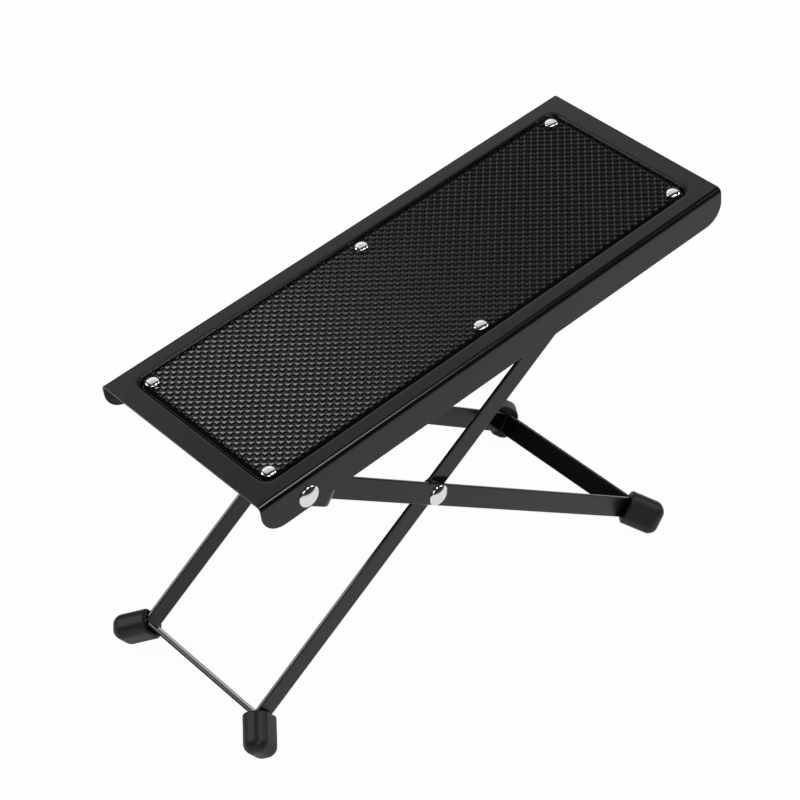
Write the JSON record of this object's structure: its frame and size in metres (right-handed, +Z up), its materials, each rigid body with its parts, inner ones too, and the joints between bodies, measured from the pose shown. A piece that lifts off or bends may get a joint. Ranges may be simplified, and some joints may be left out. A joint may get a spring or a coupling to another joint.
{
  "type": "guitar footrest",
  "caption": "Folding footrest for seated guitar players: a padded steel platform on crossed U-shaped leg frames, with notched height settings.",
  "frame": {"origin": "on the floor under the middle of the open footrest", "axes": "+X along the platform towards its high end, +Y to the far side, +Z up"},
  "size_m": [0.3056, 0.1308, 0.2128],
  "materials": {
    "black_steel": "satin black powder coat",
    "mat_rubber": "moulded rubber with small pyramids",
    "foot_rubber": "matte black rubber",
    "bright_rivet": "polished domed heads",
    "zinc_steel": "zinc-plated"
  },
  "bodies": {
    "outer_legs": {"outer_leg_frame": "black_steel", "outer_foot_near": "foot_rubber", "outer_foot_far": "foot_rubber", "crossing_rivet_near": "bright_rivet", "crossing_rivet_far": "bright_rivet", "crossing_spacer_near": "zinc_steel", "crossing_spacer_far": "zinc_steel", "crossing_washer_near": "zinc_steel", "crossing_washer_far": "zinc_steel"},
    "platform": {"platform_pan": "black_steel", "rubber_mat": "mat_rubber", "mat_rivets": "bright_rivet", "height_rack_near": "black_steel", "height_rack_far": "black_steel", "platform_pivot_rivet_near": "bright_rivet", "platform_pivot_rivet_far": "bright_rivet", "platform_pivot_washer_near": "zinc_steel", "platform_pivot_washer_far": "zinc_steel"},
    "inner_legs": {"inner_leg_frame": "black_steel", "lock_rod": "zinc_steel", "inner_foot_near": "foot_rubber", "inner_foot_far": "foot_rubber"}
  },
  "joints": [
    {"name": "platform_fold", "type": "hinge", "parent": "outer_legs", "child": "platform", "pos_m": [-0.11854, 0, 0.15762], "axis": [0, 1, 0], "range_deg": [0, 40.28]},
    {"name": "inner_leg_fold", "type": "hinge", "parent": "outer_legs", "child": "inner_legs", "pos_m": [-0.02698, 0, 0.10224], "axis": [0, 1, 0], "range_deg": [0, 69.67]}
  ],
  "couplings": [
    {"joint": "inner_leg_fold", "follows": "platform_fold", "ratio": 1.7294}
  ]
}
